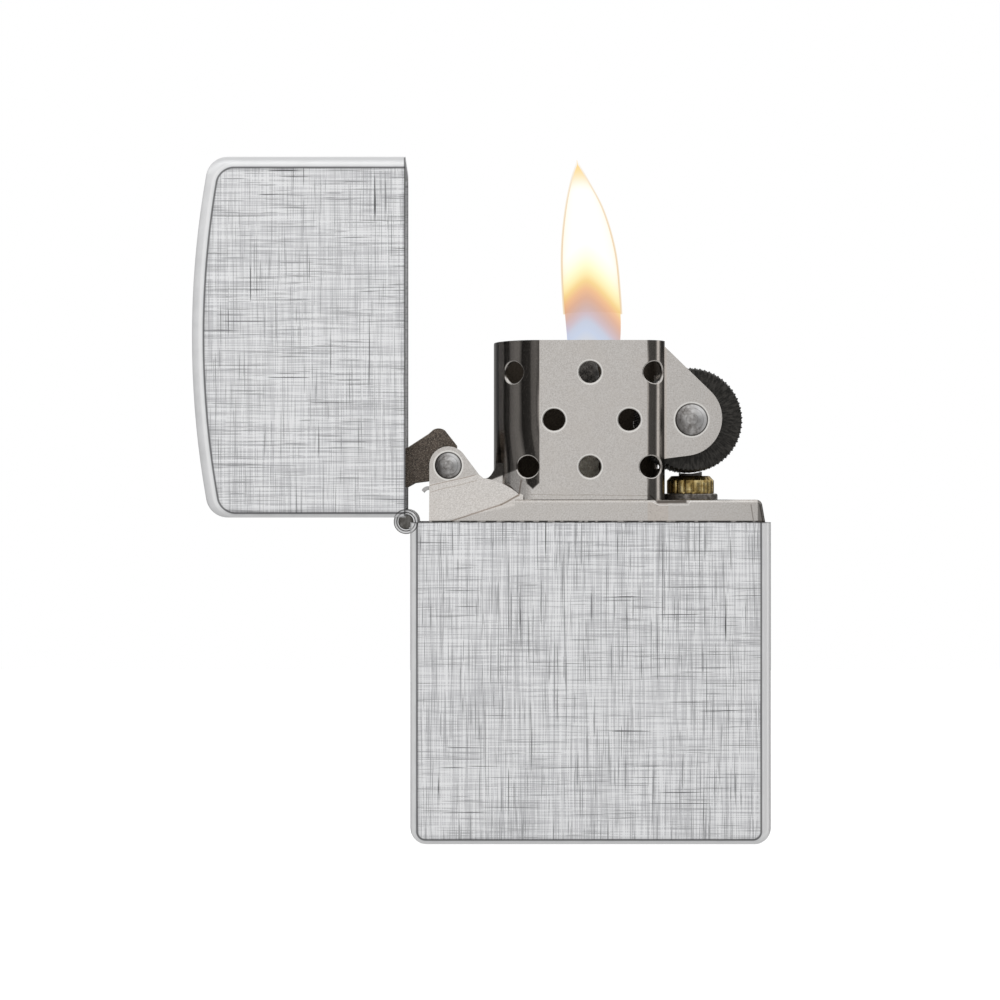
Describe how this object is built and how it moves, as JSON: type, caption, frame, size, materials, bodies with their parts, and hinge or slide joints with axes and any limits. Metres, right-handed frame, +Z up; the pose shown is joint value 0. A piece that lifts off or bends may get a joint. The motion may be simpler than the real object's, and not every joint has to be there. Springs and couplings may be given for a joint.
{
  "type": "windproof flip-top lighter",
  "caption": "Flip-top petrol lighter with its lid open: brushed metal case, hinged domed lid, sprung cam, pierced chimney, striker wheel and sprung flint.",
  "frame": {"origin": "middle of the case's flat underside", "axes": "+X to the striker wheel's side, away from the hinge; +Y from the front face to the back face; +Z up out of the case"},
  "size_m": [0.0612, 0.0126, 0.0726],
  "materials": {
    "case_steel": "brushed flats with polished edges",
    "insert_steel": "satin, finely mottled",
    "rivet_steel": "satin, slightly mottled",
    "cam_steel": "sintered, oiled brown",
    "wheel_steel": "hardened, dark",
    "spring_steel": "bright spring temper",
    "brass": "turned",
    "tube_flange": "dull",
    "flint": "ground, slightly rough",
    "wick": "braided glass and cotton cord, scorched at the tip",
    "packing": "loose cotton",
    "felt": "pressed felt"
  },
  "bodies": {
    "case": {"case_shell": "case_steel", "hinge_leaf_case": "case_steel", "hinge_pin": "rivet_steel", "insert_tank": "insert_steel", "chimney": "insert_steel", "cam_rivet": "rivet_steel", "cam_spring": "spring_steel", "cam_spring_rivet": "rivet_steel", "wheel_rivet": "rivet_steel", "flint_tube": "tube_flange", "flint_tube_collar": "brass", "flint_spring": "spring_steel", "flint_screw": "brass", "wick": "wick", "wick_sleeve": "insert_steel", "felt_pad": "felt", "cotton_wad_1": "packing", "cotton_wad_2": "packing", "cotton_wad_3": "packing", "cotton_wad_4": "packing", "cotton_wad_5": "packing"},
    "lid": {"lid_shell": "case_steel", "hinge_leaf_lid": "case_steel"},
    "cam": {"cam": "cam_steel"},
    "wheel": {"striker_wheel": "wheel_steel"},
    "flint": {"flint": "flint", "flint_plunger": "brass"}
  },
  "joints": [
    {"name": "lid_hinge", "type": "hinge", "parent": "case", "child": "lid", "pos_m": [-0.0195, 0, 0.03405], "axis": [0, 1, 0], "range_deg": [-20, 90]},
    {"name": "cam_turn", "type": "hinge", "parent": "case", "child": "cam", "pos_m": [-0.01503, 0, 0.04004], "axis": [0, 1, 0], "range_deg": [-20, 90], "deforming": ["cam_spring"]},
    {"name": "wheel_spin", "type": "hinge", "parent": "case", "child": "wheel", "pos_m": [0.01085, 0, 0.0449], "axis": [0, 1, 0], "continuous": true},
    {"name": "flint_slide", "type": "slide", "parent": "case", "child": "flint", "axis": [0, 0, 1], "range_m": [-0.003, 0], "stiffness_N_per_m": 150, "springref_m": 0.01, "deforming": ["flint_spring"]}
  ],
  "couplings": [
    {"joint": "cam_turn", "follows": "lid_hinge", "ratio": 1}
  ]
}
